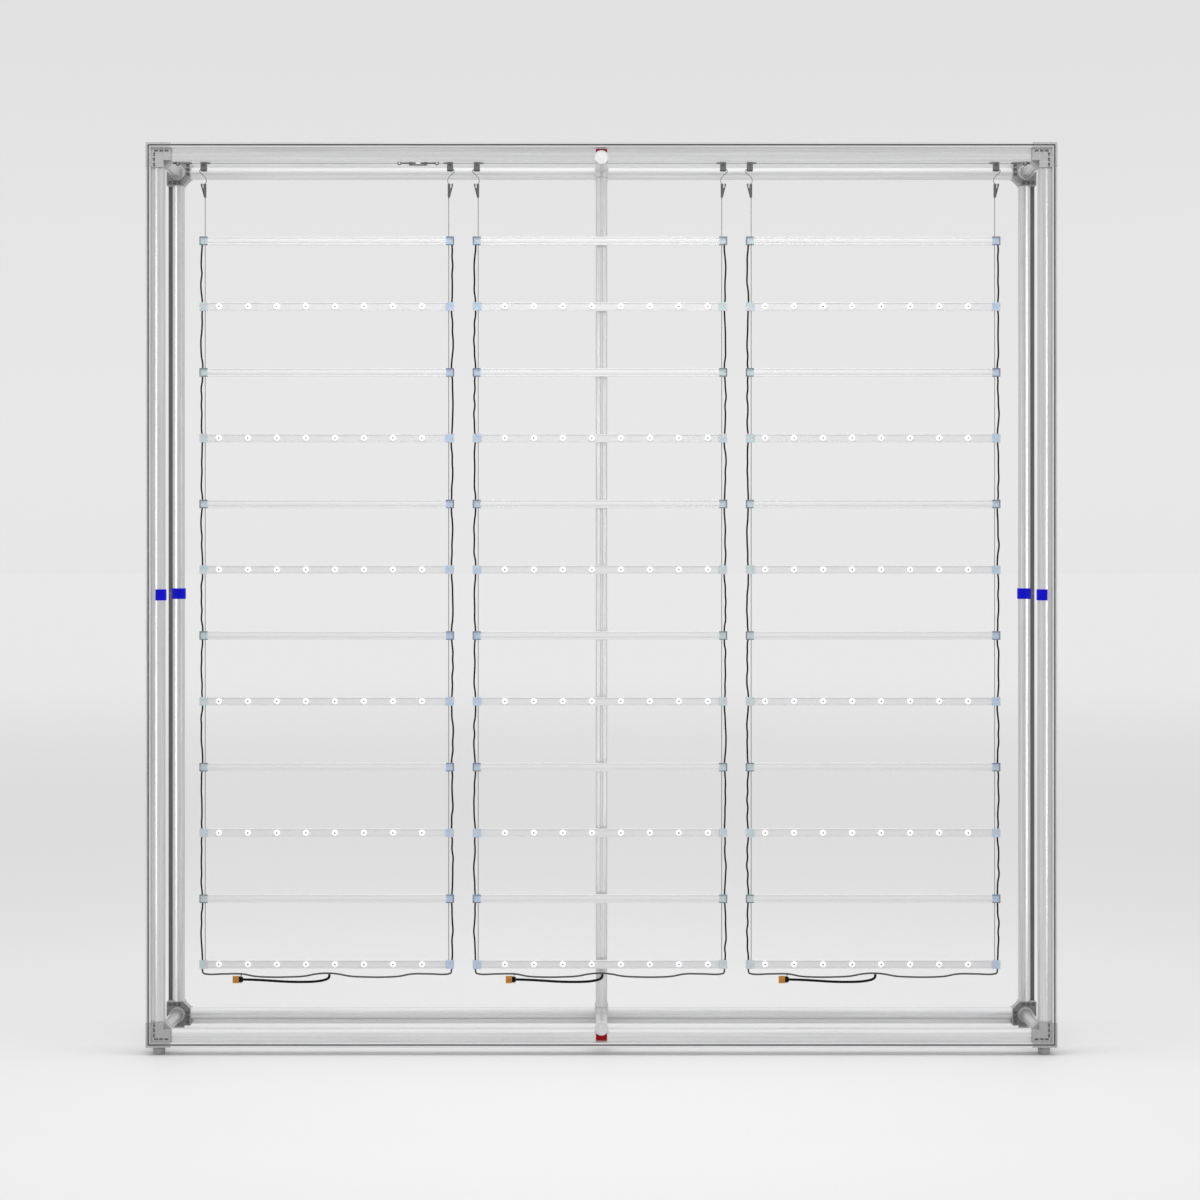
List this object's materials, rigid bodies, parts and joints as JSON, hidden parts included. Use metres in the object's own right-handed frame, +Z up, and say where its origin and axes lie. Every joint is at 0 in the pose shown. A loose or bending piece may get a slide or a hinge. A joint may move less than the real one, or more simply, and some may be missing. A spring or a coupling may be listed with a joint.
{
  "type": "lightbox display frame",
  "caption": "Free-standing square lightbox frame without its fabric: two grooved profile rings joined front to rear, lit by hanging ladders of LED bars.",
  "frame": {"origin": "on the floor at the centre of the footprint", "axes": "+X across the front to the right, +Y from the front ring to the rear ring, +Z up"},
  "size_m": [2.286, 0.34, 2.29],
  "materials": {
    "aluminium": "satin anodised",
    "grey_plastic": "moulded, fine texture",
    "blue_collar": "moulded, satin",
    "red_collar": "moulded, satin",
    "foot_plastic": "moulded, matt",
    "steel": "galvanised wire",
    "zinc": "cast zinc, dull",
    "bar_white": "white moulded bar",
    "lens_white": "frosted round LED lens",
    "clip_blue": "translucent pale blue",
    "clip_teal": "translucent pale teal",
    "black_cable": "matt cable sheath",
    "grey_cable": "matt cable sheath",
    "orange_plastic": "moulded nylon"
  },
  "bodies": {
    "frame": {"profile_front_top": "aluminium", "collar_front_top": "red_collar", "profile_front_bottom": "aluminium", "collar_front_bottom": "red_collar", "profile_front_left": "aluminium", "collar_front_left": "blue_collar", "corner_front_left_top": "grey_plastic", "corner_front_left_bottom": "grey_plastic", "foot_front_left": "foot_plastic", "profile_front_right": "aluminium", "collar_front_right": "blue_collar", "corner_front_right_top": "grey_plastic", "corner_front_right_bottom": "grey_plastic", "foot_front_right": "foot_plastic", "profile_rear_top": "aluminium", "collar_rear_top": "red_collar", "profile_rear_bottom": "aluminium", "collar_rear_bottom": "red_collar", "profile_rear_left": "aluminium", "collar_rear_left": "blue_collar", "corner_rear_left_top": "grey_plastic", "corner_rear_left_bottom": "grey_plastic", "foot_rear_left": "foot_plastic", "profile_rear_right": "aluminium", "collar_rear_right": "blue_collar", "corner_rear_right_top": "grey_plastic", "corner_rear_right_bottom": "grey_plastic", "foot_rear_right": "foot_plastic", "depth_tube_left_top": "aluminium", "depth_tube_left_bottom": "aluminium", "depth_tube_right_top": "aluminium", "depth_tube_right_bottom": "aluminium", "spreader_top": "aluminium", "spreader_bottom": "aluminium", "centre_post": "aluminium", "hanging_wire_left": "steel", "hanging_wire_right": "steel", "ladder_left_clamp_left": "zinc", "ladder_left_clamp_right": "zinc", "ladder_centre_clamp_left": "zinc", "ladder_centre_clamp_right": "zinc", "ladder_right_clamp_left": "zinc", "ladder_right_clamp_right": "zinc"},
    "turnbuckle_body": {"turnbuckle": "steel"},
    "ladder_left": {"ladder_left_net": "bar_white", "ladder_left_lead": "black_cable", "ladder_left_plug": "orange_plastic", "ladder_left_hook_left": "steel", "ladder_left_hook_right": "steel"},
    "ladder_centre": {"ladder_centre_net": "bar_white", "ladder_centre_lead": "black_cable", "ladder_centre_plug": "orange_plastic", "ladder_centre_hook_left": "steel", "ladder_centre_hook_right": "steel"},
    "ladder_right": {"ladder_right_net": "bar_white", "ladder_right_lead": "black_cable", "ladder_right_plug": "orange_plastic", "ladder_right_hook_left": "steel", "ladder_right_hook_right": "steel"}
  },
  "joints": [
    {"name": "ladder_left_swing", "type": "hinge", "parent": "frame", "child": "ladder_left", "pos_m": [-0.7035, -0.034, 2.2435], "axis": [1, 0, 0], "range_deg": [-3.5, 5.5]},
    {"name": "ladder_centre_swing", "type": "hinge", "parent": "frame", "child": "ladder_centre", "pos_m": [-0.004, -0.034, 2.2435], "axis": [1, 0, 0], "range_deg": [-3.5, 0.25]},
    {"name": "ladder_right_swing", "type": "hinge", "parent": "frame", "child": "ladder_right", "pos_m": [0.6955, -0.034, 2.2435], "axis": [1, 0, 0], "range_deg": [-3.5, 5.5]},
    {"name": "turnbuckle_spin", "type": "hinge", "parent": "frame", "child": "turnbuckle_body", "pos_m": [-0.47, -0.034, 2.26], "axis": [1, 0, 0], "continuous": true}
  ]
}
